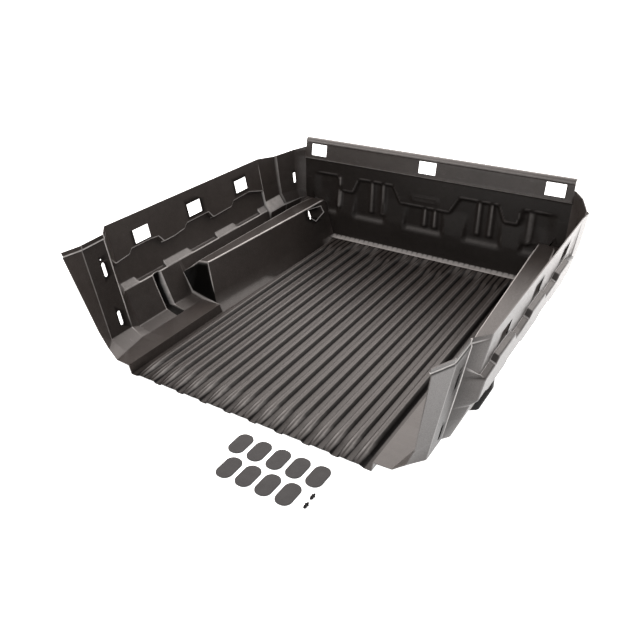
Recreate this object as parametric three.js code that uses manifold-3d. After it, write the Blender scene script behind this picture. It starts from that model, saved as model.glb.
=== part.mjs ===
// Under-rail liner for the cargo bed of a mid-size pickup truck, with its loose fitting kit: nine
// adhesive covers for the rectangular wall openings, and two push-in retainers.
// Millimetres, +X to the right of the bed, +Y towards the cab, +Z up. The tailgate end is at y = 0.
// The liner is one vacuum-formed sheet: this file lofts its cargo-side surface from sections along the
// bed, thickens it outwards into one closed solid and cuts the openings and slots.
import * as THREE from "three";
import { mergeVertices } from "three/addons/utils/BufferGeometryUtils.js";
import Module from "manifold-3d";

// Driving dimensions of the tray.
const sheetThickness = 4;
const bedLength = 1624; // tailgate edge to the foot of the front wall
const topHeight = 525; // side wall rim
const frontTopHeight = 566; // front wall rim
const frontLean = 0.06; // forward lean of the front wall per unit of height
const frontLipDepth = 34;

// Corrugated floor.
const troughPitch = 61.25;
const lastTrough = 8; // troughs are numbered -8 to 8 across the bed
const troughHalfWidth = 10.3;
const ribSideWidth = 10;
const ribTop = 28;
const troughBottom = 14;
const rearEdgeLevel = 12;
const rearLobeLevel = 4; // every other trough dips at the tailgate edge
const rearEdge = -5;
const rearRampEnd = 85;
const grooveBottom = 4;
const grooveInner = 552;
const grooveOuter = 576;
const longTroughEnd = 1560;
const shortTroughEnd = 1480;
const troughRampLength = 60;
const floorFront = 1580;

// Side walls: stations along the bed.
const flangeCrease = 60;
const pillarFront = 185;
const wallStart = 240;
const wellRear = 600;
const wellFootRear = 612;
const wellFootFront = 561;
const wellSideDraft = 69;
const wellTop = 228;
const stakeRear = 1345;
const stakeFront = 1480;
const grooveCentre = 448;
const grooveDepth = 30;

// Rectangular openings and their covers.
const openingLength = 97;
const openingHeight = 63;
const sideOpeningStations = [426, 790, 1164];
const sideOpeningHeight = 425;
const frontOpeningOffset = 667;
const frontOpeningHeight = 508;
const coverWidth = 66;
const coverLength = 108;
const coverCorner = 30;
const coverThickness = 6;
const backingThickness = 0.8;
const backingInset = 3;
const coverPitch = 84;
const gap = 0.3;

// Push-in retainers.
const flangeRadius = 8;
const legLength = 19;

const mix = THREE.MathUtils.lerp;

// Straight lines through the given [place, value] pairs, level beyond both ends.
function along(place, pairs) {
  if (place <= pairs[0][0]) return pairs[0][1];
  for (let i = 1; i < pairs.length; i++) {
    const [from, low] = pairs[i - 1];
    const [to, high] = pairs[i];
    if (place <= to) return low + ((high - low) * (place - from)) / (to - from);
  }
  return pairs[pairs.length - 1][1];
}

// One sheet of triangles, on the cargo side, that every region adds to.
const points = [];
const faces = [];
const put = (x, y, z) => points.push(new THREE.Vector3(x, y, z)) - 1;

// Joins two lines of points that run the same way, whatever their counts, with triangles.
function zip(lower, upper) {
  let i = 0;
  let j = 0;
  const reach = (line, k) => points[line[k]].distanceTo(points[line[0]]);
  const lowerLength = reach(lower, lower.length - 1);
  const upperLength = reach(upper, upper.length - 1);
  while (i < lower.length - 1 || j < upper.length - 1) {
    const nextLower = i < lower.length - 1 ? reach(lower, i + 1) / lowerLength : Infinity;
    const nextUpper = j < upper.length - 1 ? reach(upper, j + 1) / upperLength : Infinity;
    if (nextLower <= nextUpper) {
      faces.push([lower[i], lower[i + 1], upper[j]]);
      i++;
    } else {
      faces.push([lower[i], upper[j + 1], upper[j]]);
      j++;
    }
  }
}

function grid(rows) {
  for (let i = 1; i < rows.length; i++) {
    for (let j = 1; j < rows[i].length; j++) {
      const [a, b, c, d] = [rows[i - 1][j - 1], rows[i - 1][j], rows[i][j], rows[i][j - 1]];
      faces.push([a, b, c], [a, c, d]);
    }
  }
}

// Floor -----------------------------------------------------------------------------------------

const crownLevel = (y) => along(y, [[rearEdge, rearEdgeLevel], [rearRampEnd, ribTop]]);

function troughLevel(k, y) {
  const odd = Math.abs(k) % 2 === 1;
  const long = [0, 1, 4, 5, 6].includes(Math.abs(k));
  const end = long ? longTroughEnd : shortTroughEnd;
  return along(y, [
    [rearEdge, odd ? rearLobeLevel : rearEdgeLevel],
    [rearRampEnd, troughBottom],
    [end - troughRampLength, troughBottom],
    [end, ribTop],
  ]);
}

function floorLines() {
  const lines = [];
  for (let k = -lastTrough; k <= lastTrough; k++) {
    const centre = k * troughPitch;
    const half = troughHalfWidth + ribSideWidth;
    lines.push({ x: () => centre - half, z: crownLevel });
    lines.push({ x: () => centre - troughHalfWidth, z: (y) => troughLevel(k, y) });
    lines.push({ x: () => centre + troughHalfWidth, z: (y) => troughLevel(k, y) });
    lines.push({ x: () => centre + half, z: crownLevel });
  }
  const narrowing = (y) => along(y, [[wellRear, 0], [floorFront, 1]]);
  const grooveLevel = (y) =>
    along(y, [[rearEdge, grooveBottom], [shortTroughEnd, grooveBottom], [floorFront, ribTop - 6]]);
  const crownEdge = (lastTrough + 1) * troughPitch - troughHalfWidth - ribSideWidth;
  for (const side of [-1, 1]) {
    const outer = [
      { x: () => side * crownEdge, z: crownLevel },
      { x: (y) => side * (grooveInner - 12 * narrowing(y)), z: grooveLevel },
      { x: (y) => side * (grooveOuter - 23 * narrowing(y)), z: grooveLevel },
    ];
    if (side < 0) lines.unshift(...outer.reverse());
    else lines.push(...outer);
  }
  return lines;
}

function floorRows() {
  const places = [
    rearEdge,
    rearRampEnd,
    shortTroughEnd - troughRampLength,
    shortTroughEnd,
    longTroughEnd - troughRampLength + 0.5,
    longTroughEnd,
    floorFront,
  ];
  const lines = floorLines();
  const level = (line, y) => (y === floorFront ? ribTop - 8 : line.z(y));
  const rows = places.map((y) => lines.map((line) => put(line.x(y), y, level(line, y))));
  grid(rows);
  return rows;
}

// Side walls ------------------------------------------------------------------------------------

// Height of the stepped line under the side openings.
const stepHeight = (y) =>
  along(y, [
    [315, 350], [345, 380], [515, 380], [545, 340], [680, 340], [712, 370],
    [880, 370], [905, 334], [1050, 334], [1085, 367], [1215, 367], [1340, 334],
  ]);
// 1 where the shelf is filled to a broad 45 degree facet, 0 where it is a narrow level ledge.
const shelfFill = (y) =>
  along(y, [
    [325, 1], [345, 0], [520, 0], [521, 1], [700, 1], [715, 0],
    [905, 0], [906, 1], [1060, 1], [1075, 0], [1275, 0], [1276, 1],
  ]);
const rimHeight = (y) =>
  along(y, [[150, topHeight - 8], [240, topHeight + 2], [1370, topHeight - 12], [1500, 486], [1655, 517]]);
const wellFoot = (y) => along(y, [[wellRear, wellFootRear], [bedLength, wellFootFront]]);
const upperPanel = (z) => 778 + 0.18 * z;
const lowerPanel = (z) => 796 + 0.2 * z;
const wellGroove = (y) =>
  along(y, [[grooveCentre - 30, 0], [grooveCentre - 10, grooveDepth], [grooveCentre + 10, grooveDepth], [grooveCentre + 22, 0]]);

// Knots of the right-hand wall at one station, from the strip's inner edge up to the rim: [x, z].
function wallKnots(y) {
  const groove = wellGroove(y);
  const fill = shelfFill(y);
  const step = stepHeight(y);
  return [
    [585, 45],
    [697, 40],
    [760 + groove, 58],
    [801 + groove, 164],
    [822 + groove * 0.3, 225],
    [lowerPanel(229 + 21 * fill), 229 + 21 * fill],
    [lowerPanel(step - 6), step - 6],
    [upperPanel(step + 4), step + 4],
    [upperPanel(rimHeight(y)), rimHeight(y)],
  ];
}

function pillarKnots(y) {
  const plane = (z) => 734 + 0.18 * z;
  const heights = [164, 225, 232, 350, 362];
  return [
    [585, 45],
    [along(y, [[flangeCrease, 668], [pillarFront, 694]]), 48],
    [plane(60) + 2, 62],
    ...heights.map((z) => [plane(z), z]),
    [plane(rimHeight(y)), rimHeight(y)],
  ];
}

// The tailgate edge: the pillar panel turns inboard over its last 60 mm and flares back at the top.
function rearKnots() {
  return [
    [585, 45, rearEdge],
    [656, 47, -3],
    [704, 85, 5],
    [735, 164, -4],
    [746, 225, -9],
    [747, 232, -9],
    [768, 350, -18],
    [770, 362, -19],
    [798, 540, -57],
  ];
}

function wellKnots(y) {
  const foot = wellFoot(y);
  const upper = wallKnots(y).slice(4);
  return [[foot, 36], [foot + wellSideDraft, wellTop], [735, wellTop - 5], [808, 164], ...upper];
}

// The stake pocket's foot: a broad pad over a small upright face.
function stakeKnots(y) {
  const knots = wellKnots(y);
  knots[4] = [802, 217];
  knots[5] = [838, 272];
  knots[6] = [848, stepHeight(y) - 6];
  knots[7] = [850, stepHeight(y) + 4];
  return knots;
}

// The last stretch turns inboard to meet the front wall.
function cornerKnots(turn, y) {
  const outboard = stakeKnots(stakeFront);
  const foot = wellFoot(y);
  const corner = [
    [foot, 30], [foot + wellSideDraft, wellTop], [702, 227], [744, 225], [750, 229],
    [757, 274], [757, 355], [757, 365], [760, 517],
  ];
  return corner.map(([x, z], i) => [mix(outboard[i][0], x, turn), mix(outboard[i][1], z, turn)]);
}

const frontPlane = (z) => bedLength + frontLean * (z - 30);

function sideStations() {
  const station = (knots, place) => knots.map(([x, z, y]) => [x, y ?? place, z]);
  const plain = (places) => places.map((y) => station(wallKnots(y), y));
  const behind = wellKnots(wellRear + 5).map(([x, z], i) => [x, wellRear + 4 + [0, 48, 46, 24][i], z]);
  const wellStart = behind.map(([x, y, z], i) => [x, i < 4 ? y : wellRear + 10, z]);
  const front = cornerKnots(1, bedLength).map(([x, z]) => [x, frontPlane(z), z]);
  return [
    station(rearKnots(), rearEdge),
    station(pillarKnots(flangeCrease), flangeCrease),
    station(pillarKnots(pillarFront), pillarFront),
    ...plain([wallStart, 325, 345, 418, 438, 458, 470, 519, 522, 545, wellRear]),
    wellStart,
    ...[690, 715, 880, 904, 907, 1055, 1080, 1215, 1274, 1278].map((y) => station(wellKnots(y), y)),
    station(wellKnots(stakeRear - 8), stakeRear - 8),
    station(stakeKnots(stakeRear), stakeRear),
    station(stakeKnots(stakeFront), stakeFront),
    station(cornerKnots(0.12, stakeFront + 12), stakeFront + 12),
    station(cornerKnots(0.55, 1600), 1600),
    front,
  ];
}

// Rows of points for one side, each row running from the tailgate forward.
function sideRows(side) {
  const stations = sideStations().map((knots) => knots.map(([x, y, z]) => put(side * x, y, z)));
  return stations[0].map((_, knot) => stations.map((line) => line[knot]));
}

// Front wall ------------------------------------------------------------------------------------

// Depth, towards the cab, of the recessed band of the front wall: high lobes, low dips between them,
// ledges at its foot with domed humps between the ledges.
function frontRecess(x, z) {
  const across = Math.abs(x);
  const top = along(across, [
    [0, 290], [145, 290], [195, 378], [400, 378], [440, 295], [510, 295], [535, 378], [690, 378],
  ]);
  const bottom = along(across, [
    [0, 150], [100, 150], [130, 215], [215, 215], [245, 150], [420, 150], [440, 215],
    [525, 215], [550, 150], [610, 150], [650, 236],
  ]);
  const depth = 18;
  const edge = along(across, [[650, 1], [700, 0]]);
  return edge * Math.min(along(z, [[bottom, 0], [bottom + 34, depth]]), along(z, [[top - 4, depth], [top + 4, 0]]));
}

function frontRows(leftColumn, rightColumn) {
  const heights = [30, 150, 184, 216, 250, 289, 299, 372, 384];
  const kept = 459;
  const lines = [];
  for (let x = -kept; x <= kept; x += kept / 17) lines.push(x);
  const outer = [0.2, 0.42, 0.64, 0.84];
  const edgeX = rightColumn.map((index) => points[index].x);
  const edgeZ = rightColumn.map((index) => points[index].z);
  const rows = heights.map((height, i) => {
    const spot = (x, share, side) => {
      const px = side ? side * mix(kept, edgeX[i], share) : x;
      const pz = mix(height, edgeZ[i], share * share);
      return put(px, frontPlane(pz) + frontRecess(px, pz), pz);
    };
    return [
      leftColumn[i],
      ...outer.toReversed().map((share) => spot(0, share, -1)),
      ...lines.map((x) => spot(x, 0, 0)),
      ...outer.map((share) => spot(0, share, 1)),
      rightColumn[i],
    ];
  });
  const rimShares = [
    { z: 452, y: 0, cover: 0.35 },
    { z: 458, y: -7, cover: 0.45 },
    { z: frontTopHeight - 8, y: -7, cover: 1 },
    { z: frontTopHeight, y: 0, cover: 1 },
    { z: frontTopHeight + 2, y: frontLipDepth, cover: 1 },
  ];
  const last = rows[rows.length - 1];
  const top = points[rightColumn[rightColumn.length - 1]].z;
  for (const { z, y, cover } of rimShares) {
    rows.push(
      last.map((index) => {
        const { x } = points[index];
        const low = along(Math.abs(x), [[690, z], [760, mix(top, frontTopHeight, cover * 0.99)]]);
        const height = cover < 1 ? Math.max(low, z) : z;
        return put(x, frontPlane(height) + y, height);
      }),
    );
  }
  grid(rows);
  return rows;
}

// Thickening ------------------------------------------------------------------------------------

// Moves each point outwards along its mean normal, further where faces meet at a sharp angle. The
// underside stays level with the ground where the sheet bears on it.
function outerPoints() {
  const normals = points.map(() => new THREE.Vector3());
  const faceNormals = faces.map(([a, b, c]) => {
    const edge = points[b].clone().sub(points[a]);
    return edge.cross(points[c].clone().sub(points[a]));
  });
  faces.forEach((face, i) => face.forEach((index) => normals[index].add(faceNormals[i])));
  normals.forEach((normal) => normal.normalize());
  const sharpest = points.map(() => 1);
  faces.forEach((face, i) => {
    const unit = faceNormals[i].clone().normalize();
    face.forEach((index) => {
      sharpest[index] = Math.min(sharpest[index], Math.max(0.72, unit.dot(normals[index])));
    });
  });
  const outer = points.map((point, i) =>
    point.clone().addScaledVector(normals[i], -sheetThickness / sharpest[i]),
  );
  outer.forEach((point) => (point.z = Math.max(0, point.z)));
  return outer;
}

function thicken() {
  const count = points.length;
  const all = [...points, ...outerPoints()];
  const solid = faces.map((face) => [...face]);
  faces.forEach(([a, b, c]) => solid.push([a + count, c + count, b + count]));
  const directed = new Set(faces.flatMap(([a, b, c]) => [`${a},${b}`, `${b},${c}`, `${c},${a}`]));
  for (const [a, b] of [...directed].map((key) => key.split(",").map(Number))) {
    if (!directed.has(`${b},${a}`)) {
      solid.push([b, a, a + count], [b, a + count, b + count]);
    }
  }
  const geometry = new THREE.BufferGeometry();
  geometry.setAttribute("position", new THREE.Float32BufferAttribute(all.flatMap((p) => p.toArray()), 3));
  geometry.setIndex(solid.flat());
  return geometry;
}

// Solids ----------------------------------------------------------------------------------------

const wasm = await Module();
wasm.setup();

function toSolid(geometry) {
  const bare = geometry.clone();
  bare.deleteAttribute("normal");
  bare.deleteAttribute("uv");
  const merged = mergeVertices(bare, 1e-3);
  return new wasm.Manifold(
    new wasm.Mesh({
      numProp: 3,
      vertProperties: merged.attributes.position.array,
      triVerts: new Uint32Array(merged.index.array),
    }),
  );
}

function toGeometry(solid) {
  const mesh = solid.getMesh();
  const geometry = new THREE.BufferGeometry();
  geometry.setAttribute("position", new THREE.BufferAttribute(mesh.vertProperties, 3));
  geometry.setIndex(new THREE.BufferAttribute(mesh.triVerts, 1));
  return geometry;
}

// A rounded bar with half-round ends, its long way along +Y, that cuts a slot along X.
function slotCutter(width, length, depth) {
  const shape = new THREE.Shape();
  const half = (length - width) / 2;
  shape.absarc(0, half, width / 2, 0, Math.PI);
  shape.absarc(0, -half, width / 2, Math.PI, 2 * Math.PI);
  shape.closePath();
  const bar = new THREE.ExtrudeGeometry(shape, { depth, bevelEnabled: false, curveSegments: 6 });
  bar.translate(0, 0, -depth / 2);
  bar.rotateX(Math.PI / 2);
  bar.rotateZ(Math.PI / 2);
  return bar;
}

function cutLiner(tray) {
  let liner = toSolid(tray);
  const cut = (geometry, x, y, z) => {
    geometry.translate(x, y, z);
    liner = liner.subtract(toSolid(geometry));
  };
  for (const side of [-1, 1]) {
    for (const y of sideOpeningStations) {
      cut(new THREE.BoxGeometry(90, openingLength, openingHeight), side * 858, y, sideOpeningHeight);
    }
    cut(slotCutter(18, 64, 80), side * 800, 140, 377);
    cut(slotCutter(18, 68, 80), side * 761, 140, 150);
    cut(slotCutter(17, 62, 90), side * 810, 1592, 345);
  }
  for (const offset of [-1, 0, 1]) {
    const opening = new THREE.BoxGeometry(openingLength, 60, openingHeight);
    cut(opening, offset * frontOpeningOffset, frontPlane(frontOpeningHeight), frontOpeningHeight);
  }
  return toGeometry(liner);
}

function buildTray() {
  const floor = floorRows();
  const right = sideRows(1);
  const left = sideRows(-1);
  grid(right.map((row) => row.toReversed()));
  grid(left);
  zip(floor.map((row) => row[row.length - 1]).toReversed(), right[0].toReversed());
  zip(floor.map((row) => row[0]), left[0]);
  const front = frontRows(
    left.map((row) => row[row.length - 1]),
    right.map((row) => row[row.length - 1]),
  );
  zip(floor[floor.length - 1], front[0]);
  return cutLiner(thicken());
}

// Loose pieces ----------------------------------------------------------------------------------

function roundedPlate(width, length, corner, thickness) {
  const shape = new THREE.Shape();
  const halfX = width / 2 - corner;
  const halfY = length / 2 - corner;
  shape.absarc(halfX, halfY, corner, 0, Math.PI / 2);
  shape.absarc(-halfX, halfY, corner, Math.PI / 2, Math.PI);
  shape.absarc(-halfX, -halfY, corner, Math.PI, 1.5 * Math.PI);
  shape.absarc(halfX, -halfY, corner, 1.5 * Math.PI, 2 * Math.PI);
  shape.closePath();
  return new THREE.ExtrudeGeometry(shape, { depth: thickness, bevelEnabled: false, curveSegments: 6 });
}

function turned(profile, segments) {
  return new THREE.LatheGeometry(profile.map(([r, h]) => new THREE.Vector2(r, h)), segments);
}

// Retainer body: a wide flange over a tapered leg, bored for the pin. Its axis lies along +Y.
function retainerBody() {
  const bore = 2.3;
  return turned(
    [
      [bore, -legLength], [3.1, -legLength], [4.4, -legLength * 0.55], [3.4, -2.4], [3.4, -1.6],
      [flangeRadius, -1.6], [flangeRadius, 0], [bore, 0], [bore, -legLength],
    ],
    20,
  );
}

// Centre pin: a small head over a shank that ends in a cone.
function retainerPin() {
  return turned(
    [[0, -17], [1.2, -15], [1.9, -12], [1.9, 6.5], [4.4, 6.5], [4.4, 8.2], [0, 8.6]],
    20,
  );
}

const plastic = (colour, roughness) => new THREE.MeshStandardMaterial({ color: colour, roughness, metalness: 0 });

function addMesh(parent, name, geometry, material) {
  const mesh = new THREE.Mesh(geometry, material);
  mesh.name = name;
  parent.add(mesh);
  return mesh;
}

const liner = new THREE.Group();
addMesh(liner, "liner_shell", buildTray(), plastic(0x2b2826, 0.55));

// Covers lie in two rows on the ground in front of the tailgate edge.
const coverRows = [
  { count: 5, x: 101, y: -124 },
  { count: 4, x: 143, y: -246 },
];
let coverNumber = 0;
for (const { count, x, y } of coverRows) {
  for (let i = 0; i < count; i++) {
    coverNumber++;
    const place = new THREE.Group();
    place.position.set(x + i * coverPitch, y, 0);
    const backing = roundedPlate(
      coverWidth - 2 * backingInset,
      coverLength - 2 * backingInset,
      coverCorner - backingInset,
      backingThickness,
    );
    addMesh(place, `cover_backing_${coverNumber}`, backing, plastic(0xb9b2a4, 0.8));
    const cover = addMesh(
      place,
      `opening_cover_${coverNumber}`,
      roundedPlate(coverWidth, coverLength, coverCorner, coverThickness - backingThickness),
      plastic(0x343232, 0.7),
    );
    cover.position.z = backingThickness + gap;
    liner.add(place);
  }
}

// The retainers lie on their sides, resting on the flange edge.
[[474, -212], [477, -256]].forEach(([x, y], i) => {
  const place = new THREE.Group();
  place.position.set(x, y, flangeRadius);
  addMesh(place, `retainer_body_${i + 1}`, retainerBody(), plastic(0x161616, 0.5));
  addMesh(place, `retainer_pin_${i + 1}`, retainerPin(), plastic(0x161616, 0.45));
  liner.add(place);
});

// The origin is on the ground, under the middle of everything.
const extent = new THREE.Box3().setFromObject(liner);
const middle = extent.getCenter(new THREE.Vector3());
liner.position.set(-middle.x, -middle.y, -extent.min.z);

export default liner;
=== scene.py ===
import math
import bpy
import bmesh
import numpy as np
from mathutils import Matrix, Vector


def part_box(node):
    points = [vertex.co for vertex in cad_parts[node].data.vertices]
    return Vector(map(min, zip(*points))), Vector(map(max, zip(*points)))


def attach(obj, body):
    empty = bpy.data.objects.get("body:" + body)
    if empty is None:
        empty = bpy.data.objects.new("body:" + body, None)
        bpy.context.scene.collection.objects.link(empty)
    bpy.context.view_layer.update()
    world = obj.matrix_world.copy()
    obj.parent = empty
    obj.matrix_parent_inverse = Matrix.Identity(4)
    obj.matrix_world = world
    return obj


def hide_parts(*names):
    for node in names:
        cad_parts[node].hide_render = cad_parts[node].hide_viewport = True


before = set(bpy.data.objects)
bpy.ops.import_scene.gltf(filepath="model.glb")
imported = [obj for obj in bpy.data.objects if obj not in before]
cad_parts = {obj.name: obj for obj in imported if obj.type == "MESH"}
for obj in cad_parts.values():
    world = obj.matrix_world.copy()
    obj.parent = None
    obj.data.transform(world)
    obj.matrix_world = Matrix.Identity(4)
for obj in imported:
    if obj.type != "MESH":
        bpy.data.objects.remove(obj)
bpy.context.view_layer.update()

shellLow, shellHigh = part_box("liner_shell")
bedOrigin = np.array([0.0, shellLow.y + 0.0582, 0.0])  # the floor's tailgate edge lies 5 mm behind this
scene = bpy.context.scene


# Wraps an output socket so that shader sums read as ordinary arithmetic.
class Link:
    def __init__(self, tree, socket):
        self.tree = tree
        self.socket = socket

    def calc(self, operation, *values, clamp=False):
        node = self.tree.nodes.new("ShaderNodeMath")
        node.operation = operation
        node.use_clamp = clamp
        for slot, value in zip(node.inputs, values):
            if isinstance(value, Link):
                self.tree.links.new(value.socket, slot)
            else:
                slot.default_value = value
        return Link(self.tree, node.outputs[0])

    def __add__(self, other): return self.calc("ADD", self, other)
    def __radd__(self, other): return self.calc("ADD", other, self)
    def __sub__(self, other): return self.calc("SUBTRACT", self, other)
    def __rsub__(self, other): return self.calc("SUBTRACT", other, self)
    def __mul__(self, other): return self.calc("MULTIPLY", self, other)
    def __rmul__(self, other): return self.calc("MULTIPLY", other, self)
    def __pow__(self, other): return self.calc("POWER", self, other)
    def clamp(self): return self.calc("ADD", self, 0.0, clamp=True)

    # 0 below low, 1 above high, straight between.
    def between(self, low, high):
        return ((self - low) * (1.0 / (high - low))).clamp()


# A material with one Principled shader and a method that adds any other node. A socket is given by its name,
# or by the letter i and its number.
class Finish:
    def __init__(self, name, **constants):
        self.material = bpy.data.materials.new(name)
        self.material.use_nodes = True
        self.tree = self.material.node_tree
        self.shader = next(n for n in self.tree.nodes if n.type == "BSDF_PRINCIPLED")
        for socket, value in constants.items():
            self.shader.inputs[socket.replace("_", " ")].default_value = value
        self.place = self.add("ShaderNodeTexCoord", out="Object")

    def add(self, kind, settings=None, out=0, **sockets):
        node = self.tree.nodes.new(kind)
        for key, value in (settings or {}).items():
            setattr(node, key, value)
        for key, value in sockets.items():
            numbered = key[0] == "i" and key[1:].isdigit()
            slot = node.inputs[int(key[1:])] if numbered else node.inputs[key.replace("_", " ")]
            if isinstance(value, Link):
                self.tree.links.new(value.socket, slot)
            else:
                slot.default_value = value
        return Link(self.tree, node.outputs[out])

    def noise(self, scale, detail=3.0, roughness=0.5, distortion=0.0, place=None):
        return self.add("ShaderNodeTexNoise", Vector=place or self.place, Scale=scale, Detail=detail,
                        Roughness=roughness, Distortion=distortion, out="Fac")

    def cells(self, scale):
        return self.add("ShaderNodeTexVoronoi", {"feature": "F1"}, Vector=self.place, Scale=scale,
                        out="Distance")

    def blendColours(self, mask, dark, light):
        return self.add("ShaderNodeMix", {"data_type": "RGBA"}, out=2, i0=mask, i6=dark, i7=light)

    def feed(self, socket, link):
        self.tree.links.new(link.socket, self.shader.inputs[socket])

    def bump(self, height, distance):
        self.feed("Normal", self.add("ShaderNodeBump", Height=height, Distance=distance, Strength=1.0))


linerLook = {
    # near-black used where the painted shade is low
    "paintedShadowBlack": (0.0020, 0.0016, 0.0014, 1),
    "dark": (0.0320, 0.0258, 0.0228, 1),
    "dusty": (0.0530, 0.0445, 0.0405, 1),
    # paler colour for painted highlights along folds and for real scuffs
    "foldHighlightAndScuff": (0.66, 0.635, 0.62, 1),
    "roughness": 0.40,
    "grainScale": 300.0,  # cells per metre
    "grainDepth": 0.00066,  # metres
    "speckle": 1.8,
    "baseSpecular": 0.12,
    "coatRoughness": 0.36,
    "sheen": 0.95,
}


# Near-black moulded sheet. The painted "shade" is painted light and shade: it takes the colour from unlit pit to
# open face and sets the coat's painted sheen. The painted "line" is a painted highlight along a fold. Haircell
# grain breaks up the sheen.
def linerPlastic():
    look = linerLook
    f = Finish("linerPlastic", IOR=1.5, Specular_IOR_Level=look["baseSpecular"], Coat_IOR=1.5,
               Coat_Roughness=look["coatRoughness"])
    shade = f.add("ShaderNodeAttribute", {"attribute_name": "shade"}, out="Fac")
    line = f.add("ShaderNodeAttribute", {"attribute_name": "line"}, out="Fac")
    drift = f.noise(3.2, 4.0, 0.55)
    mottle = f.noise(38.0, 3.0, 0.6)
    grit = f.noise(260.0, 2.0, 0.7)
    # Painted highlight strength along the folds, broken up by mottle.
    edge = (line * (0.55 + mottle * 0.8)).clamp()
    scuffPlace = f.add("ShaderNodeMapping", Vector=f.place, Scale=(9.0, 120.0, 60.0))
    scuff = f.noise(1.0, 2.0, 0.7, place=scuffPlace).between(0.66, 0.80)
    colour = f.blendColours((drift * 0.6 + mottle * 0.4).between(0.35, 0.72), look["dark"], look["dusty"])
    # Painted shade: the colour darkens to near-black where the painted shade is low.
    colour = f.blendColours(shade.between(0.0, 0.9), look["paintedShadowBlack"], colour)
    # Painted highlight: paler along the painted fold lines, plus faint real scuffs on lit faces.
    colour = f.blendColours((edge * 0.8 + scuff * shade * 0.06).clamp(), colour, look["foldHighlightAndScuff"])
    f.feed("Base Color", colour)
    # Painted sheen: the coat's weight follows the painted shade, broken up by grit speckle.
    f.feed("Coat Weight", (shade * look["sheen"] * (1.0 + (grit - 0.5) * look["speckle"])).clamp())
    grain = f.cells(look["grainScale"]) * 0.75 + f.noise(1500.0, 2.0) * 0.25
    swirl = f.noise(140.0, 3.0, 0.65)
    patches = (drift - 0.5) * 0.16 + (mottle - 0.5) * 0.10
    f.feed("Roughness", look["roughness"] + patches + scuff * 0.05 - edge * 0.04)
    f.bump(grain * 0.7 + swirl * 0.5, look["grainDepth"])
    return f.material


# Closed-cell pad: fine pores, a faint skin and slightly paler rubbed spots.
def coverFoam():
    f = Finish("coverFoam", IOR=1.45)
    pores = f.cells(900.0)
    cloud = f.noise(26.0, 4.0, 0.6)
    speck = f.noise(1300.0, 2.0, 0.6)
    colour = f.blendColours(cloud.between(0.3, 0.7), (0.033, 0.032, 0.033, 1), (0.053, 0.052, 0.053, 1))
    colour = f.blendColours(speck.between(0.55, 0.75) * 0.35, colour, (0.15, 0.145, 0.14, 1))
    f.feed("Base Color", colour)
    f.feed("Roughness", 0.62 + (cloud - 0.5) * 0.2 + pores * 0.12)
    f.bump(pores * 0.6 + speck * 0.4, 0.0002)
    return f.material


# Waxy paper behind each pad, a little creased.
def releaseFilm():
    f = Finish("releaseFilm", IOR=1.4)
    fibre = f.noise(420.0, 3.0, 0.6)
    crease = f.noise(30.0, 2.0, 0.5, 0.8)
    f.feed("Base Color", f.blendColours(fibre.between(0.3, 0.7), (0.20, 0.185, 0.16, 1), (0.30, 0.28, 0.25, 1)))
    f.feed("Roughness", 0.38 + (crease - 0.5) * 0.3)
    f.bump(crease * 0.8 + fibre * 0.2, 0.0002)
    return f.material


# Smooth black moulding with faint flow marks; its colour is paler along its convex edges.
def retainerPlastic():
    f = Finish("retainerPlastic", IOR=1.5, Specular_IOR_Level=0.2)
    flow = f.noise(260.0, 3.0, 0.5, 1.2)
    edge = f.add("ShaderNodeNewGeometry", out="Pointiness").between(0.52, 0.62)
    colour = f.blendColours(flow.between(0.3, 0.7), (0.004, 0.004, 0.0042, 1), (0.009, 0.009, 0.0095, 1))
    f.feed("Base Color", f.blendColours(edge * 0.5, colour, (0.05, 0.05, 0.052, 1)))
    f.feed("Roughness", 0.42 + (flow - 0.5) * 0.25)
    f.bump(flow, 0.00005)
    return f.material


finishes = {"liner": linerPlastic(), "cover": coverFoam(), "film": releaseFilm(), "retainer": retainerPlastic()}
print("finishes made")


# A mesh object from whole arrays: points in metres, quads and triangles as index arrays.
def meshFrom(name, points, quads, triangles=None):
    mesh = bpy.data.meshes.new(name)
    corners = [np.asarray(quads, np.int32).reshape(-1, 4)]
    starts = np.arange(len(corners[0])) * 4
    flat = corners[0].ravel()
    if triangles is not None and len(triangles):
        tri = np.asarray(triangles, np.int32).reshape(-1, 3)
        starts = np.concatenate([starts, len(flat) + np.arange(len(tri)) * 3])
        flat = np.concatenate([flat, tri.ravel()])
    mesh.vertices.add(len(points))
    mesh.vertices.foreach_set("co", np.asarray(points, np.float32).ravel())
    mesh.loops.add(len(flat))
    mesh.loops.foreach_set("vertex_index", flat.astype(np.int32))
    mesh.polygons.add(len(starts))
    mesh.polygons.foreach_set("loop_start", starts.astype(np.int32))
    mesh.update(calc_edges=True)
    mesh.validate()
    piece = bpy.data.objects.new(name, mesh)
    scene.collection.objects.link(piece)
    return piece


# Quads over a 2-D array of point numbers: each point, its neighbour along the row, the one diagonally ahead and
# the one in the next row.
def gridQuads(index):
    return np.stack([index[:-1, :-1], index[:-1, 1:], index[1:, 1:], index[1:, :-1]], -1).reshape(-1, 4)


# Replaces a piece's mesh by its evaluated one, modifiers gone.
def applied(piece):
    graph = bpy.context.evaluated_depsgraph_get()
    done = bpy.data.meshes.new_from_object(piece.evaluated_get(graph))
    piece.modifiers.clear()
    piece.data = done


def smoothShade(piece, degrees):
    piece.data.shade_smooth()
    piece.data.set_sharp_from_angle(angle=math.radians(degrees))


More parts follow.
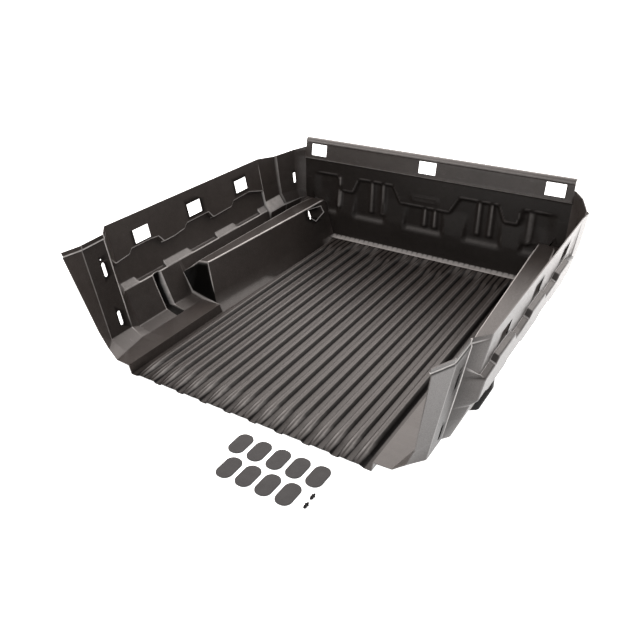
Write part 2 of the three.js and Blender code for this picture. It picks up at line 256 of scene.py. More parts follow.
# Four points round each corner along axis 0, a radius and a radius plus guard away on either side, with even
# points between. Also gives each point's stretch number.
def creased(values, radius, guard, spacing):
    lengths = np.linalg.norm(np.diff(values, axis=0), axis=-1)
    lengths = lengths.reshape(len(values) - 1, -1).mean(1)
    last = len(lengths) - 1
    shares, starts = [np.zeros(1)], [np.zeros(1, int)]
    for i, length in enumerate(lengths):
        near = min(radius / length, 0.3)
        low, high = (0.0 if i == 0 else near), (1.0 if i == last else 1 - near)
        part = np.linspace(low, high, 2 + int(length * (high - low) / spacing))
        if guard and length > 3.2 * (radius + guard):
            first = low if i == 0 else low + guard / length
            final = high if i == last else high - guard / length
            inner = np.linspace(first, final, 2 + int(length * (final - first) / spacing))
            part = np.unique(np.concatenate([[low], inner, [high]]))
        part = part[1:] if i == 0 else part
        shares.append(part)
        starts.append(np.full(len(part), i))
    shares, starts = np.concatenate(shares), np.concatenate(starts)
    spread = shares.reshape(-1, *([1] * (values.ndim - 1)))
    return values[starts] * (1 - spread) + values[starts + 1] * spread, starts


# How sharply a grid of points folds outwards at each of them, 0 on flats and hollows, 1 at a crisp edge: the
# neighbours' pull against the surface normal, taken along both axes.
def foldLines(grid, low, high):
    ahead, side = np.gradient(grid, axis=0), np.gradient(grid, axis=1)
    normal = np.cross(side, ahead)
    normal /= np.linalg.norm(normal, axis=-1, keepdims=True) + 1e-9
    pull = np.zeros(grid.shape[:2])
    for axis in (0, 1):
        step = np.diff(grid, axis=axis)
        step /= np.linalg.norm(step, axis=-1, keepdims=True) + 1e-9
        turn = np.zeros_like(grid)
        if axis == 0:
            turn[1:-1] = step[1:] - step[:-1]
        else:
            turn[:, 1:-1] = step[:, 1:] - step[:, :-1]
        pull = np.maximum(pull, -(turn * normal).sum(-1))
    return np.clip((pull - low) / (high - low), 0, 1)


def paint(piece, name, values):
    layer = piece.data.attributes.new(name, "FLOAT", "POINT")
    layer.data.foreach_set("value", np.asarray(values, np.float32))


# Rounds the folds of a grid along one axis: each point moves half way to the middle of its two neighbours.
def soften(values, axis):
    values = np.moveaxis(values.copy(), axis, 0)
    values[1:-1] = values[:-2] * 0.25 + values[1:-1] * 0.5 + values[2:] * 0.25
    return np.moveaxis(values, 0, axis)


# Triangles between two lines of point numbers, stepping along whichever line is behind by length.
def zipped(lower, upper, points):
    def shares(line):
        steps = np.linalg.norm(np.diff(points[line], axis=0), axis=1)
        return np.cumsum(steps) / steps.sum()

    both = np.concatenate([shares(lower), shares(upper) + 1e-9])
    order = np.argsort(both, kind="stable")
    fromLower = order < len(lower) - 1
    i = np.cumsum(fromLower) - fromLower
    j = np.cumsum(~fromLower) - ~fromLower
    third = np.where(fromLower, upper[np.minimum(j, len(upper) - 1)], upper[np.minimum(j + 1, len(upper) - 1)])
    second = np.where(fromLower, lower[np.minimum(i + 1, len(lower) - 1)], third)
    last = upper[np.minimum(j, len(upper) - 1)]
    return np.stack([lower[np.minimum(i, len(lower) - 1)], second, last], -1)


# 1 inside a convex outline given anticlockwise in the u, v plane, falling to 0 over the softness: the smoothed
# distance to its nearest side.
def insideShape(u, v, corners, softness):
    corners = np.asarray(corners, float)
    following = np.roll(corners, -1, 0)
    run = following - corners
    run /= np.linalg.norm(run, axis=1, keepdims=True)
    reach = np.min([-(u - c[0]) * r[1] + (v - c[1]) * r[0] for c, r in zip(corners, run)], axis=0)
    share = np.clip(reach / softness + 0.5, 0, 1)
    return share * share * (3 - 2 * share)


# The formed sheet, in millimetres from the tailgate edge, right-hand side; the left is its mirror image.
tray = {
    "thickness": 4.0,
    "troughPitch": 61.25,
    "troughHalf": 11.5,
    "ribSide": 9.0,
    "ribRadius": 1.8,
    "foldRadius": 2.6,
    "guard": 2.6,
    "ribTop": 28.0,
    "troughBottom": 12.0,
    "floorSpacing": 16.0,
    "sideSpacing": 50.0,
    "bedSpacing": 90.0,
    "bedLength": 1624.0,
    "frontLean": 0.06,
    "wallRows": 62,
    "wallColumns": 149,
    "sideOpenings": (426.0, 790.0, 1164.0),
    "openingSize": (97.0, 63.0),
}


# Straight lines between [place, value] pairs.
def along(place, pairs):
    pairs = np.asarray(pairs, float)
    return np.interp(place, pairs[:, 0], pairs[:, 1])


# The ribs' tops ramp up from the tailgate edge and then run level.
def crownLevel(y):
    return along(y, [[-5, 12], [85, tray["ribTop"]]])


# A trough runs level and rises to the crowns at its front end; every second one is also deeper at the tailgate.
def troughLevel(k, y):
    odd = abs(k) % 2 == 1
    end = 1560 if abs(k) in (0, 1, 4, 5, 6) else 1480
    low = tray["troughBottom"]
    return along(y, [[-5, 4 if odd else 12], [85, low], [end - 60, low], [end, tray["ribTop"]]])


# The floor as columns across it at every station: trapezoid troughs at an even pitch between level crowns, then
# a wide groove to the wheel cover on either side; also its painted shade and painted fold highlights.
def floorColumns(y):
    half, side, pitch = tray["troughHalf"], tray["ribSide"], tray["troughPitch"]
    xs, zs = [], []
    narrowing = along(y, [[600, 0], [1580, 1]])
    groove = along(y, [[-5, 4], [1480, 4], [1580, 22]])
    crownEdge = 9 * pitch - half - side
    ones = np.ones_like(y)
    rightX = [crownEdge * ones, 552 - 12 * narrowing, 576 - 23 * narrowing]
    rightZ = [crownLevel(y), groove, groove]
    xs += [-x for x in rightX[::-1]]
    zs += rightZ[::-1]
    for k in range(-8, 9):
        centre = k * pitch
        level = troughLevel(k, y)
        xs += [(centre + o) * ones for o in (-half - side, -half, half, half + side)]
        zs += [crownLevel(y), level, level, crownLevel(y)]
    xs += rightX
    zs += rightZ
    level, _ = creased(np.stack([np.array(xs), np.array(zs)], -1), tray["ribRadius"], 0, tray["floorSpacing"])
    x, z = level[..., 0], level[..., 1]
    ease = np.clip((y - 1560) / 12, 0, 1)
    foot = along(y, [[1560, tray["ribTop"]], [1586, 27], [1602, 18], [1624, 33]])
    z = z * (1 - ease) + foot * ease
    # Painted shade: rib sides painted unlit black, crowns and trough floors lit, dimmer on the tailgate ramp and
    # brighter towards the front wall.
    sloping = np.abs(np.gradient(z[:, len(y) // 3])) / (np.abs(np.gradient(x[:, 0])) + 1e-6) > 0.5
    paintedLightAlongBed = along(y, [[60, 0.6], [110, 1.0], [1000, 1.0], [1560, 1.3]])[:, None]
    shade = np.where(sloping, 0.0, 0.62)[None] * paintedLightAlongBed
    grid = np.stack([x.T, np.broadcast_to(y[:, None], x.T.shape), z.T], -1)
    # Painted highlights along the ribs' folds, strongest on the tailgate ramp, and a painted bright line along
    # the wall's foot.
    highlightAlongBed = along(y, [[10, 0.0], [30, 0.4], [90, 0.4], [130, 0.1], [1480, 0.1], [1560, 0.3]])[:, None]
    line = foldLines(grid, 0.12, 0.42) * highlightAlongBed
    line[(y > 1592) & (y < 1604)] = 0.8
    return grid, shade, line


# Heights and share of fill along the side: the step that runs above the shelf, the facets that fill the shelf,
# the rim, and the wheel cover's foot.
def stepHeight(y):
    return along(y, [[315, 350], [345, 380], [515, 380], [545, 340], [680, 340], [712, 370], [880, 370],
                     [905, 334], [1050, 334], [1085, 367], [1215, 367], [1340, 334]])


def shelfFill(y):
    return along(y, [[325, 1], [345, 0], [520, 0], [521, 1], [700, 1], [715, 0], [905, 0], [906, 1], [1060, 1],
                     [1075, 0], [1275, 0], [1276, 1]])


def rimHeight(y):
    return along(y, [[150, 517], [240, 527], [1370, 513], [1500, 486], [1655, 517]])


def wellFoot(y):
    return along(y, [[600, 612], [1624, 561]])


# The corners of one section across the side, [x, z]: strip, groove, lower wall, shelf, step and rim.
def wallKnots(y):
    groove = along(y, [[418, 0], [438, 30], [458, 30], [470, 0]])
    fill, step, rim = shelfFill(y), stepHeight(y), rimHeight(y)
    shelf = 229 + 21 * fill
    lower = [[796 + 0.2 * z, z] for z in (shelf, step - 6)]  # the wall leans out under the step and above it
    upper = [[778 + 0.18 * z, z] for z in (step + 4, rim)]
    return np.array([[585, 45], [697, 40], [760 + groove, 58], [801 + groove, 164], [822 + groove * 0.3, 225]]
                    + lower + upper, float)


# The same section with the wheel cover in place of the strip and groove.
def wellKnots(y):
    foot = float(wellFoot(y))
    return np.vstack([[[foot, 36], [foot + 69, 228], [735, 223], [808, 164]], wallKnots(y)[4:]])


# The same with the stake pocket's pad in place of the shelf.
def stakeKnots(y):
    knots, step = wellKnots(y), float(stepHeight(y))
    knots[4:8] = [[802, 217], [838, 272], [848, step - 6], [850, step + 4]]
    return knots


# The front wall leans forward as it rises.
def frontPlane(z):
    return tray["bedLength"] + tray["frontLean"] * (z - 30)


# Sections of the right side from the tailgate forward, each of eleven corners [x, y, z]: nine, and two of the
# folded lip below the rim.
def sideStations():
    def at(knots, y):
        return np.stack([knots[:, 0], np.full(len(knots), float(y)), knots[:, 1]], -1)

    def pillar(y, strip):
        levels = np.array([164, 226, 288, 350, 412, rimHeight(y)], float)
        plane = np.stack([734 + 0.18 * levels, levels], -1)
        return np.vstack([[[585, 45], [strip, 48], [735 + 0.18 * 84, 84]], plane])

    levels = np.array([164, 226, 288, 350, 412, 540], float)
    rearEdge = np.stack([735 + 0.1676 * (levels - 164), -4 - 0.141 * (levels - 164), levels], -1)
    rear = np.vstack([[[585, -5, 45], [656, -3, 47], [704, 5, 85]], rearEdge])
    behind = at(wellKnots(605), 604)
    behind[:, 1] += [0, 48, 46, 24, 0, 0, 0, 0, 0]
    wellStart = behind.copy()
    wellStart[4:, 1] = 610

    def corner(turn, y):
        outboard, foot = stakeKnots(1480), float(wellFoot(y))
        inner = np.array([[foot, 30], [foot + 69, 228], [702, 227], [744, 225], [750, 229], [757, 274],
                          [757, 355], [757, 365], [760, 517]], float)
        return outboard + (inner - outboard) * turn

    front = at(corner(1, 1624), 1624)
    front[:, 1] = frontPlane(front[:, 2])
    stations = [rear, at(pillar(60, 668), 60), at(pillar(185, 694), 185)]
    stations += [at(wallKnots(y), y) for y in (240, 325, 345, 418, 438, 458, 470, 519, 522, 545, 600)]
    stations += [wellStart]
    stations += [at(wellKnots(y), y) for y in (690, 715, 880, 904, 907, 1055, 1080, 1215, 1274, 1278, 1337)]
    stations += [at(stakeKnots(1345), 1345), at(stakeKnots(1480), 1480)]
    before, after = at(corner(0.12, 1492), 1492), at(corner(0.55, 1600), 1600)
    stations += [before, before + (after - before) * (1580 - 1492) / (1600 - 1492), after, front]
    stations = np.array(stations)
    rim, down = stations[:, 8], stations[:, 7] - stations[:, 8]
    down /= np.linalg.norm(down, axis=1, keepdims=True)
    lip = np.stack([stations[:, 7], rim + down * 26, rim + down * 20, rim], 1)
    lip[:3, 2:, 0] -= 6  # the rear pillar's top carries a raised lip
    return np.concatenate([stations[:, :7], lip], 1)


wellRearStation, stakeStation = 13, 26  # the stretches that hold the wheel cover's rear face and the stake pad


# The right side as a fine grid, stations along the bed and strip edge to rim, with its painted shade and painted
# fold highlights. A band is the stretch between two corners of a section.
def sideGrid():
    rows, station = creased(sideStations(), tray["foldRadius"], tray["guard"], tray["bedSpacing"])
    grid, band = creased(np.swapaxes(rows, 0, 1), tray["foldRadius"], tray["guard"], tray["sideSpacing"])
    grid = np.swapaxes(grid, 0, 1)
    y, band, station = grid[..., 1], band[None, :], station[:, None]
    # Painted shade: upper wall brighter than lower, pillar dimmer; painted black for the unlit wheel cover rear
    # face and groove channel; painted shadow line under the pillar's lip; strip and foot ledge painted brighter.
    shade = np.where(band >= 5, 1.05, 0.75) + 0.0 * y
    shade[(y < 190) & (band >= 2)] = 0.55
    shade[(station > wellRearStation) & (band == 0)] = 0.8
    shade[(station == wellRearStation) & (band <= 2)] = 0.0
    shade[(y > 420) & (y < 472) & (band >= 2) & (band <= 3)] = 0.0
    filled = shelfFill(y[:, :1]) > 0.5
    pad = (station == stakeStation) & (band == 4)
    facet = filled & (band == 4) & (y > 245) & (y < 1340)
    shade[(y > 420) & (y < 472) & (band == 1)] = 0.0
    shade[(y < 600) & (band == 1) & (shade > 0)] = 1.5
    shade[(y < 600) & (band == 0)] = 1.3
    shade[(station < 2) & (band == 8)] = 0.0
    shade[(station == 0) & (band >= 2) & (band != 8)] = 0.8
    # Painted highlights along the folds, painted bright patches on the stake pad and shelf facets, and painted
    # highlight outlines on the wheel cover's rear face and the strip's crease.
    line = foldLines(grid, 0.10, 0.34) * 0.95
    line[pad] = 0.8
    line = np.where(facet, np.maximum(line, 0.3), line)
    rearRow = int(np.argmax(station[:, 0] == wellRearStation))
    line[rearRow, band[0] <= 2] = 0.8
    creaseRow = int(np.argmax(station[:, 0] == 1))
    line[creaseRow, band[0] >= 2] = 0.4
    return grid, shade, line


# Depth towards the cab of the front wall's lower band: the smaller of a ramp up from its ledges and a ramp down
# to its stepped top line, less the upright bars and a plain raised frame.
def frontRecess(x, z):
    across = np.abs(x)
    top = along(across, [[0, 290], [145, 290], [195, 378], [400, 378], [440, 295], [510, 295], [535, 378],
                         [690, 378]])
    ledge = along(across, [[100, 1], [122, 0], [222, 0], [245, 1], [420, 1], [440, 0], [528, 0], [550, 1],
                           [610, 1], [632, 0]])
    edge = along(across, [[650, 1], [700, 0]])
    shelf = np.clip((z - 150) / 26, 0, 1) * ledge
    slope = np.clip((z - 172) / 130, 0, 1)
    low = np.maximum(shelf, slope) * 16
    high = np.clip((top + 3 - z) / 6, 0, 1) * 16
    depth = edge * np.minimum(low, high)
    ribs = [(-320, 202, 377), (-250, 202, 377), (305, 202, 377), (370, 202, 377), (5, 187, 287), (65, 187, 287),
            (-530, 202, 377), (570, 202, 377)]
    for centre, foot, head in ribs:
        outline = [[centre - 13, foot], [centre + 13, foot], [centre + 11, head], [centre - 11, head]]
        depth = depth - 12 * insideShape(x, z, outline, 6)
    frameOutside = insideShape(x, z, [[-78, 322], [78, 322], [78, 352], [-78, 352]], 7)
    frameInside = insideShape(x, z, [[-68, 329], [68, 329], [68, 345], [-68, 345]], 6)
    return depth - 4 * frameOutside + 4 * frameInside


# Front wall from just above its foot to its lip. Rows are level at the middle and bend to meet the side's last
# section, given as its points from foot to rim.
def frontGrid(edge):
    reach = np.concatenate([[0], np.cumsum(np.linalg.norm(np.diff(edge, axis=0), axis=1))])
    marks = [[30, 561, 30], [196, 630, 228], [222, 744, 225], [232, 750, 229], [285, 757, 274], [450, 757, 450]]
    nearest = [reach[np.argmin(np.hypot(edge[:, 0] - x, edge[:, 2] - z))] for _, x, z in marks]
    heights = np.linspace(34, 450, tray["wallRows"])
    atEdge = np.interp(heights, [m[0] for m in marks], nearest)
    edgeX, edgeZ = np.interp(atEdge, reach, edge[:, 0])[:, None], np.interp(atEdge, reach, edge[:, 2])[:, None]
    heights = heights[:, None]
    kept = 520.0
    inner = np.linspace(-kept, kept, tray["wallColumns"])
    share = np.append(np.arange(1, 20) / 20, 0.982)
    outerX = kept + (edgeX - kept) * share
    outerZ = heights + (edgeZ - heights) * share**2
    level = np.broadcast_to(heights, (len(heights), len(inner)))
    x = np.hstack([-outerX[:, ::-1], np.broadcast_to(inner, level.shape), outerX])
    z = np.hstack([outerZ[:, ::-1], level, outerZ])
    y = frontPlane(z) + frontRecess(x, z)
    tops = [[450, 0], [454, 0], [459, -6], [546, 6], [549, 2], [556, 3], [559, 8], [564, 9], [567, 14],
            [568, 20], [568, 31], [564, 34]]
    tops = creased(np.array(tops, float), 1.0, 0, 16.0)[0][1:]
    height, depth = tops[:, :1], tops[:, 1:]
    x = np.vstack([x, np.broadcast_to(x[-1], (len(tops), x.shape[1]))])
    y = np.vstack([y, np.broadcast_to(frontPlane(height) + depth, (len(tops), y.shape[1]))])
    z = np.vstack([z, np.broadcast_to(height, (len(tops), z.shape[1]))])
    return np.stack([x, y, z], -1)


# A box by its centre and size in millimetres.
def rectangleCutter(name, centre, size):
    half = np.array(size) / 2000
    square = [[-1, -1], [1, -1], [1, 1], [-1, 1]]
    signs = np.array([[*corner, level] for level in (-1, 1) for corner in square])
    quads = [[0, 3, 2, 1], [4, 5, 6, 7], [0, 1, 5, 4], [1, 2, 6, 5], [2, 3, 7, 6], [3, 0, 4, 7]]
    return meshFrom(name, signs * half + np.array(centre) / 1000 + bedOrigin, quads)


# A bar along X with half-round ends, its long way upright.
def slotCutter(name, centre, width, height, reach):
    turn = np.linspace(0, np.pi, 13)
    upper = np.stack([np.cos(turn) * width / 2, np.sin(turn) * width / 2 + (height - width) / 2], -1)
    ring = np.vstack([upper, -upper])
    n = len(ring)
    low = np.hstack([np.full((n, 1), -reach / 2), ring])
    points = np.vstack([low, low + [reach, 0, 0], [[-reach / 2, 0, 0], [reach / 2, 0, 0]]])
    i = np.arange(n)
    j = (i + 1) % n
    quads = np.stack([i, i + n, j + n, j], -1)[:, ::-1]
    nearCap = np.stack([j, i, np.full(n, 2 * n)], -1)
    farCap = np.stack([i + n, j + n, np.full(n, 2 * n + 1)], -1)
    caps = np.vstack([nearCap, farCap])
    return meshFrom(name, (points + centre) / 1000 + bedOrigin, quads, caps)


# A raised five-cornered outline on the wheel cover's side, [y, z] corners.
pocketOutline = [[1466, 222], [1590, 206], [1600, 166], [1504, 142], [1452, 186]]


# The wheel cover's side leans out as it rises from its foot.
def coverSide(y, z):
    return wellFoot(y) + (z - 36) * 69 / 192


# A flat bar round that outline: four rings, outer and inner, below the surface and above it.
def pocketRim(side):
    corners = np.array(pocketOutline, float)
    inner = corners + (corners.mean(0) - corners) * 0.09
    rings = []
    for outline, rise in ((corners, -1.5), (corners, 1.6), (inner, 1.6), (inner, -1.5), (corners, -1.5)):
        x = coverSide(outline[:, 0], outline[:, 1]) - rise
        rings.append(np.stack([side * x, outline[:, 0], outline[:, 1]], -1))
    points = np.array(rings[:4])
    index = np.arange(20).reshape(4, 5)
    around = np.vstack([np.hstack([index, index[:, :1]]), np.hstack([index[:1], index[:1, :1]])])
    quads = gridQuads(around)
    rim = meshFrom("pocketRim", points.reshape(-1, 3) / 1000 + bedOrigin, quads if side > 0 else quads[:, ::-1])
    # The bar is painted as a bright highlight outline and fully lit.
    paint(rim, "line", np.ones(20))
    paint(rim, "shade", np.ones(20))
    return rim


# One grid from rim to rim through the floor, and the front wall stitched to its last row.
def buildSheet():
    right, sideShade, sideLine = sideGrid()
    floor, floorShade, floorLine = floorColumns(right[:, 0, 1])
    left = right[:, ::-1] * [-1, 1, 1]
    body = np.concatenate([left, floor, right], 1)
    shade = np.concatenate([sideShade[:, ::-1], floorShade, sideShade], 1)
    rows, columns = body.shape[:2]
    sideCount = right.shape[1]
    wall = soften(soften(frontGrid(body[-1, columns - sideCount :]), 0), 1)
    index = np.arange(rows * columns).reshape(rows, columns)
    wallIndex = rows * columns + np.arange(wall.shape[0] * wall.shape[1]).reshape(wall.shape[:2])
    points = np.vstack([body.reshape(-1, 3), wall.reshape(-1, 3)])
    rimRow = int(np.argmin(np.abs(wall[:, -1, 2] - body[-1, -1, 2])))
    lastRow = index[-1]
    leftEdge, rightEdge = lastRow[:sideCount][::-1], lastRow[columns - sideCount :]
    foot = lastRow[sideCount - 1 : columns - sideCount + 1]
    stitches = np.vstack([
        zipped(foot, wallIndex[0], points),
        zipped(rightEdge, wallIndex[: rimRow + 1, -1], points),
        zipped(leftEdge, wallIndex[: rimRow + 1, 0], points)[:, ::-1],
    ])
    quads = np.vstack([gridQuads(index), gridQuads(wallIndex)])
    sheet = meshFrom("linerSheet", points / 1000 + bedOrigin, quads, stitches)
    # Painted shade on the front wall: lit above 455 mm, painted darker below.
    paint(sheet, "shade", np.concatenate([shade.ravel(), np.where(wall[..., 2] > 455, 1.0, 0.3).ravel()]))
    line = np.concatenate([sideLine[:, ::-1], floorLine, sideLine], 1)
    # Painted highlights along the front wall's folds, stronger near its top.
    wallLine = foldLines(wall, 0.25, 0.9) * np.where(wall[..., 2] > 440, 0.9, 0.4)
    wallLine[0] = line[-1] = 0
    paint(sheet, "line", np.concatenate([line.ravel(), wallLine.ravel()]))
    return sheet


liner = buildSheet()
bm = bmesh.new()
bm.from_mesh(liner.data)
bmesh.ops.recalc_face_normals(bm, faces=bm.faces)
bm.faces.ensure_lookup_table()
middleFace = min(bm.faces, key=lambda f: (f.calc_center_median() - Vector((0, 0.1, 0.02))).length)
if middleFace.normal.z < 0:
    bmesh.ops.reverse_faces(bm, faces=bm.faces)
bm.to_mesh(liner.data)
bm.free()
solid = liner.modifiers.new("thickness", "SOLIDIFY")
solid.thickness = tray["thickness"] / 1000
solid.offset = -1
solid.use_even_offset = True
applied(liner)
cutters = []
for side in (-1, 1):
    for y in tray["sideOpenings"]:
        cutters.append(rectangleCutter("cut", (side * 858, y, 425), (90, *tray["openingSize"])))
    cutters.append(slotCutter("cut", (side * 800, 140, 377), 18, 64, 80))
    cutters.append(slotCutter("cut", (side * 761, 140, 150), 18, 68, 80))
    cutters.append(slotCutter("cut", (side * 808, 136, 424), 8, 8.2, 80))
    cutters.append(slotCutter("cut", (side * 810, 1592, 345), 17, 62, 90))
    cutters.append(slotCutter("cut", (side * coverSide(1470, 190), 1470, 190), 18, 50, 60))
for side in (-1, 0, 1):
    cutters.append(rectangleCutter("cut", (side * 667, float(frontPlane(508)), 508), (97, 60, 63)))
for cutter in cutters:
    cut = liner.modifiers.new("opening", "BOOLEAN")
    cut.operation = "DIFFERENCE"
    cut.solver = "MANIFOLD"
    cut.object = cutter
for side in (-1, 1):
    rim = pocketRim(side)
    cutters.append(rim)
    joined = liner.modifiers.new("pocketRim", "BOOLEAN")
    joined.operation = "UNION"
    joined.solver = "MANIFOLD"
    joined.object = rim
applied(liner)
for cutter in cutters:
    bpy.data.objects.remove(cutter)
corners = np.empty(len(liner.data.vertices) * 3, np.float32)
liner.data.vertices.foreach_get("co", corners)
corners = np.clip(corners.reshape(-1, 3), np.array(shellLow), np.array(shellHigh))  # a few folds overshoot
liner.data.vertices.foreach_set("co", corners.ravel())
smoothShade(liner, 50)
liner.data.materials.clear()
liner.data.materials.append(finishes["liner"])
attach(liner, "tray")
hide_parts("liner_shell")
print("sheet made:", len(liner.data.polygons), "faces")


# Opening covers, in millimetres; turns is the number of points round a corner.
cover = {"corner": 30.0, "edgeRadius": 1.6, "crown": 0.5, "turns": 12}
film = {"corner": 27.0, "edgeRadius": 0.15, "crown": 0.0, "turns": 12}


# Outline of a plate with round corners, moved in by the inset: four quarter circles about the corners' centres.
def plateRing(width, length, corner, inset, turns):
    angle = np.radians(np.arange(4)[:, None] * 90 + np.linspace(0, 90, turns)[None])
    signs = np.array([[1, 1], [-1, 1], [-1, -1], [1, -1]])
    centres = signs * [width / 2 - corner, length / 2 - corner]
    ring = centres[:, None] + (corner - inset) * np.stack([np.cos(angle), np.sin(angle)], -1)
    return ring.reshape(-1, 2)


# A rounded pad inside its CAD box: rings from the base out, up a rolled edge and back in to a crowned middle.
def plate(name, node, corner, edgeRadius, crown, turns):
    lowest, highest = (np.array(v) * 1000 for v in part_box(node))
    width, length, height = highest - lowest
    middle = (lowest + highest) / 2
    bend = np.linspace(0, np.pi / 2, 5)
    insets = [edgeRadius * 0.4, 0.0] + list(edgeRadius * (1 - np.cos(bend)))[1:] + [6.0, 13.0, 21.0, 28.0]
    rolled = height - crown - edgeRadius
    levels = [0.0, edgeRadius * 0.4] + list(rolled + edgeRadius * np.sin(bend))[1:]
    levels += [height - crown * s for s in (0.55, 0.25, 0.08, 0.0)]
    rings = []
    for inset, level in zip(insets, levels):
        ring = plateRing(width, length, corner, min(inset, corner - 0.5), turns)
        rings.append(np.hstack([ring + middle[:2], np.full((len(ring), 1), lowest[2] + level)]))
    rings = np.array(rings)
    count = rings.shape[1]
    index = np.arange(rings.shape[0] * count).reshape(rings.shape[0], count)
    around = np.hstack([index, index[:, :1]])
    quads = gridQuads(around)
    poles = [[middle[0], middle[1], lowest[2]], [middle[0], middle[1], highest[2]]]
    points = np.vstack([rings.reshape(-1, 3), poles])
    ends = np.arange(count)
    after = (ends + 1) % count
    base = np.stack([index[0][after], index[0][ends], np.full(count, len(points) - 2)], -1)
    top = np.stack([index[-1][ends], index[-1][after], np.full(count, len(points) - 1)], -1)
    piece = meshFrom(name, points / 1000, quads, np.vstack([base, top]))
    smoothShade(piece, 50)
    return piece


for number in range(1, 10):
    pad = plate(f"pad_{number}", f"opening_cover_{number}", **cover)
    pad.data.materials.append(finishes["cover"])
    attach(pad, f"cover_{number}")
    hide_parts(f"opening_cover_{number}")
    backing = plate(f"film_{number}", f"cover_backing_{number}", **film)
    backing.data.materials.append(finishes["film"])
    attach(backing, f"cover_{number}")
    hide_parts(f"cover_backing_{number}")
print("covers made")


# Retainers, lying along Y: profiles of [radius, place along the axis] in millimetres.
retainer = {
    "segments": 48,
    "slitHalf": 0.55,
    "body": [[2.3, -18.6], [2.9, -19.0], [3.9, -18.4], [6.2, -13.0], [6.8, -10.6], [6.6, -9.8], [5.3, -4.6],
             [5.2, -2.2], [5.5, -1.6], [7.4, -1.6], [7.9, -1.3], [8.0, -0.8], [7.8, -0.3], [7.2, 0.0], [3.2, 0.0],
             [2.3, -0.3]],
    "pin": [[0.0, -17.0], [0.7, -16.4], [1.2, -15.0], [1.9, -12.0], [1.9, 6.2], [3.9, 6.5], [4.3, 6.9],
            [4.4, 7.5], [4.1, 8.1], [3.2, 8.4], [0.0, 8.6]],
}


# A profile carried round the Y axis; it closes on itself unless it ends on the axis.
def turnedPiece(name, profile, centre, segments):
    profile = np.asarray(profile, float)
    angle = np.arange(segments) / segments * 2 * np.pi
    radius, height = profile[:, 0][:, None], profile[:, 1][:, None]
    points = np.stack([radius * np.cos(angle), height + 0 * angle, radius * np.sin(angle)], -1)
    index = np.arange(points.shape[0] * segments).reshape(points.shape[0], segments)
    around = np.hstack([index, index[:, :1]])
    if profile[0, 0] > 0:
        around = np.vstack([around, around[:1]])
    piece = meshFrom(name, points.reshape(-1, 3) / 1000 + centre, gridQuads(around))
    work = bmesh.new()
    work.from_mesh(piece.data)
    bmesh.ops.remove_doubles(work, verts=work.verts, dist=1e-6)
    bmesh.ops.recalc_face_normals(work, faces=work.faces)
    work.to_mesh(piece.data)
    work.free()
    return piece


for number in (1, 2):
    lowest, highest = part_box(f"retainer_body_{number}")
    centre = np.array([(lowest.x + highest.x) / 2, highest.y, (lowest.z + highest.z) / 2])
    body = turnedPiece(f"retainerBody_{number}", retainer["body"], centre, retainer["segments"])
    slits = []
    wide, thin = 16, 2 * retainer["slitHalf"]
    for size in ((wide, 15, thin), (thin, 15, wide)):
        slit = rectangleCutter("slit", (centre - bedOrigin) * 1000 + [0, -13.0, 0], size)
        slits.append(slit)
        cut = body.modifiers.new("slit", "BOOLEAN")
        cut.operation = "DIFFERENCE"
        cut.solver = "MANIFOLD"
        cut.object = slit
    applied(body)
    for slit in slits:
        bpy.data.objects.remove(slit)
    pin = turnedPiece(f"retainerPin_{number}", retainer["pin"], centre, retainer["segments"])
    for piece, bodyName, node in ((body, "retainer", "retainer_body"), (pin, "pin", "retainer_pin")):
        smoothShade(piece, 35)
        piece.data.materials.clear()  # cutting the slits leaves an empty slot
        piece.data.materials.append(finishes["retainer"])
        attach(piece, f"{bodyName}_{number}")
        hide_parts(f"{node}_{number}")
print("retainers made")


# Room, light and camera, in metres and watts.
studio = {
    "floorSize": 60.0,
    "worldStrength": 0.50,
    "floorGlow": 1.1,
    "lampColour": (1.0, 0.92, 0.88),
    "lamps": {
        "backSoftbox": {"place": (-0.6, 3.6, 3.5), "size": (9.0, 3.6), "power": 320.0},
        "topSoftbox": {"place": (-1.6, -1.4, 3.6), "size": (3.0, 3.0), "power": 110.0},
    },
    "aimHeight": 0.2,
}
view = {"place": (1.4218, -1.6066, 1.687), "yaw": 0.575088, "pitch": 0.535521, "roll": -0.0260045,
        "lens": 38.99}


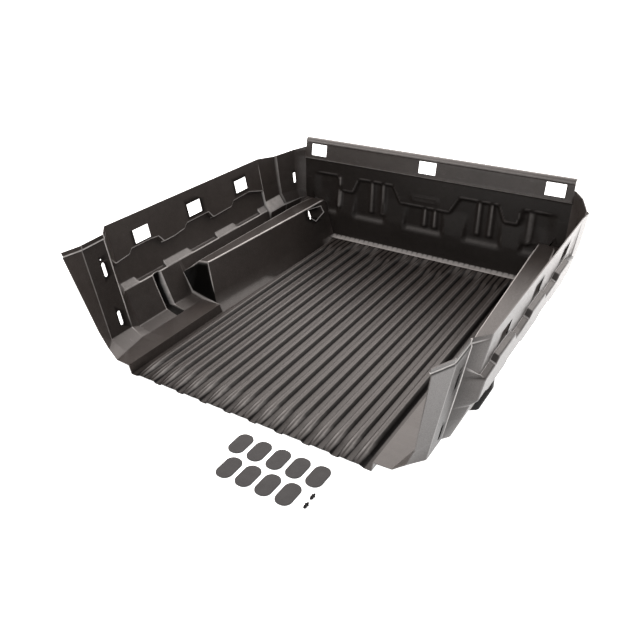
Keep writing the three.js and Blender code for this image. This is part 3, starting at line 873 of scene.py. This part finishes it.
# A glowing floor, an even world and two soft lamps aimed at the bed.
def makeStudio():
    half = studio["floorSize"] / 2
    square = [[-half, -half, 0], [half, -half, 0], [half, half, 0], [-half, half, 0]]
    floorPlane = meshFrom("studioFloor", square, [[0, 1, 2, 3]])
    paint = Finish("studioPaint", Roughness=0.6)
    speckle = paint.noise(3.0, 2.0)
    paint.feed("Base Color", paint.blendColours(speckle, (0.93, 0.93, 0.93, 1), (0.95, 0.95, 0.95, 1)))
    paint.shader.inputs["Emission Color"].default_value = (1, 1, 1, 1)
    paint.shader.inputs["Emission Strength"].default_value = studio["floorGlow"]
    floorPlane.data.materials.append(paint.material)
    world = bpy.data.worlds.new("studioWorld")
    scene.world = world
    world.use_nodes = True
    back = world.node_tree.nodes["Background"]
    back.inputs["Color"].default_value = (1, 1, 1, 1)
    back.inputs["Strength"].default_value = studio["worldStrength"]
    aim = Vector((0, 0, studio["aimHeight"]))
    for name, settings in studio["lamps"].items():
        lamp = bpy.data.lights.new(name, "AREA")
        lamp.shape = "RECTANGLE"
        lamp.size, lamp.size_y = settings["size"]
        lamp.energy = settings["power"]
        lamp.color = studio["lampColour"]
        holder = bpy.data.objects.new(name, lamp)
        holder.location = settings["place"]
        holder.rotation_euler = (aim - holder.location).to_track_quat("-Z", "Y").to_euler()
        scene.collection.objects.link(holder)


# The view direction turns by yaw about Z, tips down by pitch, and the picture turns by roll about it.
def makeCamera():
    yaw, pitch, roll = view["yaw"], view["pitch"], view["roll"]
    ahead = Vector((-math.sin(yaw) * math.cos(pitch), math.cos(yaw) * math.cos(pitch), -math.sin(pitch)))
    across = ahead.cross(Vector((0, 0, 1))).normalized()
    up = across.cross(ahead)
    turnedAcross = math.cos(roll) * across + math.sin(roll) * up
    turnedUp = -math.sin(roll) * across + math.cos(roll) * up
    lens = bpy.data.cameras.new("camera")
    lens.sensor_width = 36
    lens.lens = view["lens"]
    lens.clip_end = 100
    camera = bpy.data.objects.new("camera", lens)
    turn = Matrix((turnedAcross, turnedUp, -ahead)).transposed().to_4x4()
    place = Vector(view["place"]) + Vector(bedOrigin)
    camera.matrix_world = Matrix.Translation(place) @ turn
    scene.collection.objects.link(camera)
    scene.camera = camera


makeStudio()
makeCamera()
scene.view_settings.view_transform = "Standard"
print("studio made")
